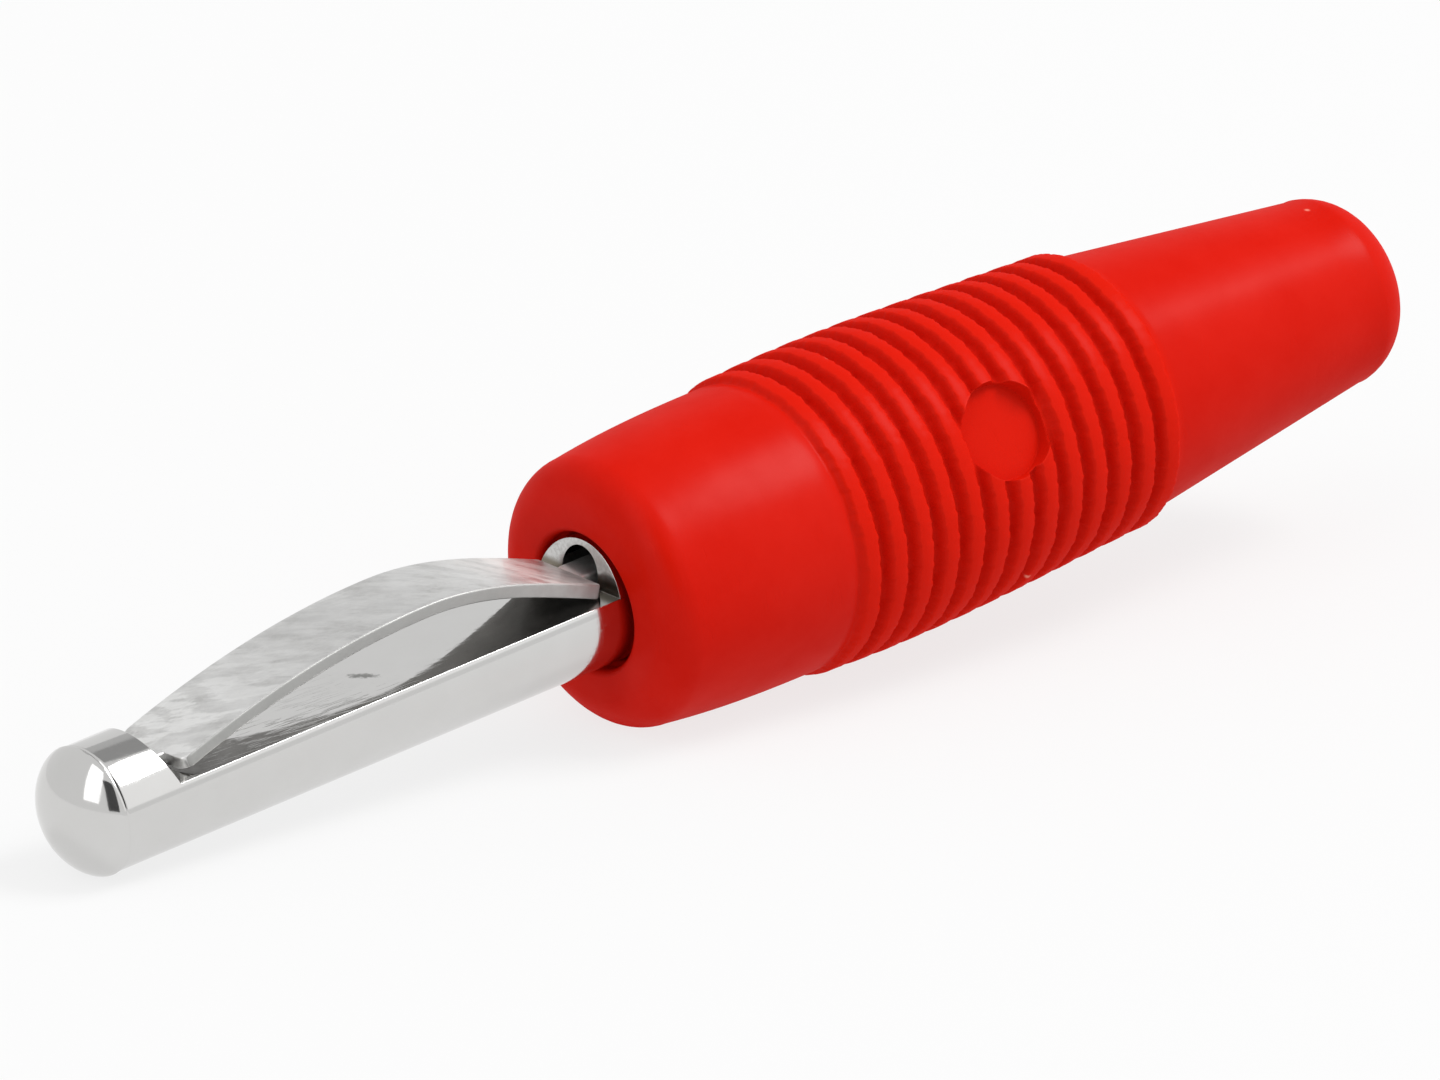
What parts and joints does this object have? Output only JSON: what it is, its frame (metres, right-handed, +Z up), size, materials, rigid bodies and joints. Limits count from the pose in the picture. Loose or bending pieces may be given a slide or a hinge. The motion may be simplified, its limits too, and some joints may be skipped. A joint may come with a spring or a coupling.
{
  "type": "banana plug",
  "caption": "Single-pole plug: a turned pin with a bowed leaf spring on a milled flat, in a ribbed tapered insulating sleeve for a cable.",
  "frame": {"origin": "on the surface that the plug lies on, under the middle of its box", "axes": "+X from the pin's tip towards the cable end, +Z up. The plug lies on the lip of its head and the front shoulder of its sleeve, so its own axis rises 6.3 degrees towards the cable end, along (0.993962, 0, 0.109721). The leaf spring faces up."},
  "size_m": [0.051, 0.0096, 0.0106],
  "materials": {
    "nickel_plate": "satin",
    "spring_steel": "satin",
    "zinc_plate": "satin",
    "red_plastic": "satin"
  },
  "bodies": {
    "pin": {"contact_pin": "nickel_plate"},
    "leaf": {"leaf_spring": "spring_steel"},
    "screw": {"clamp_screw": "zinc_plate"},
    "sleeve": {"insulating_sleeve": "red_plastic"}
  },
  "joints": [
    {"name": "sleeve_slide", "type": "slide", "parent": "pin", "child": "sleeve", "axis": [0.994, 0, 0.1097], "range_m": [0, 0.0105]},
    {"name": "leaf_press", "type": "slide", "parent": "pin", "child": "leaf", "axis": [0.1097, 0, -0.994], "range_m": [0, 0.00084], "stiffness_N_per_m": 5000, "deforming": ["leaf_spring"]},
    {"name": "clamp_screw_turn", "type": "hinge", "parent": "pin", "child": "screw", "pos_m": [0.00207, 0, 0.00492], "axis": [0.1097, 0, -0.994], "range_deg": [0, 990]}
  ]
}
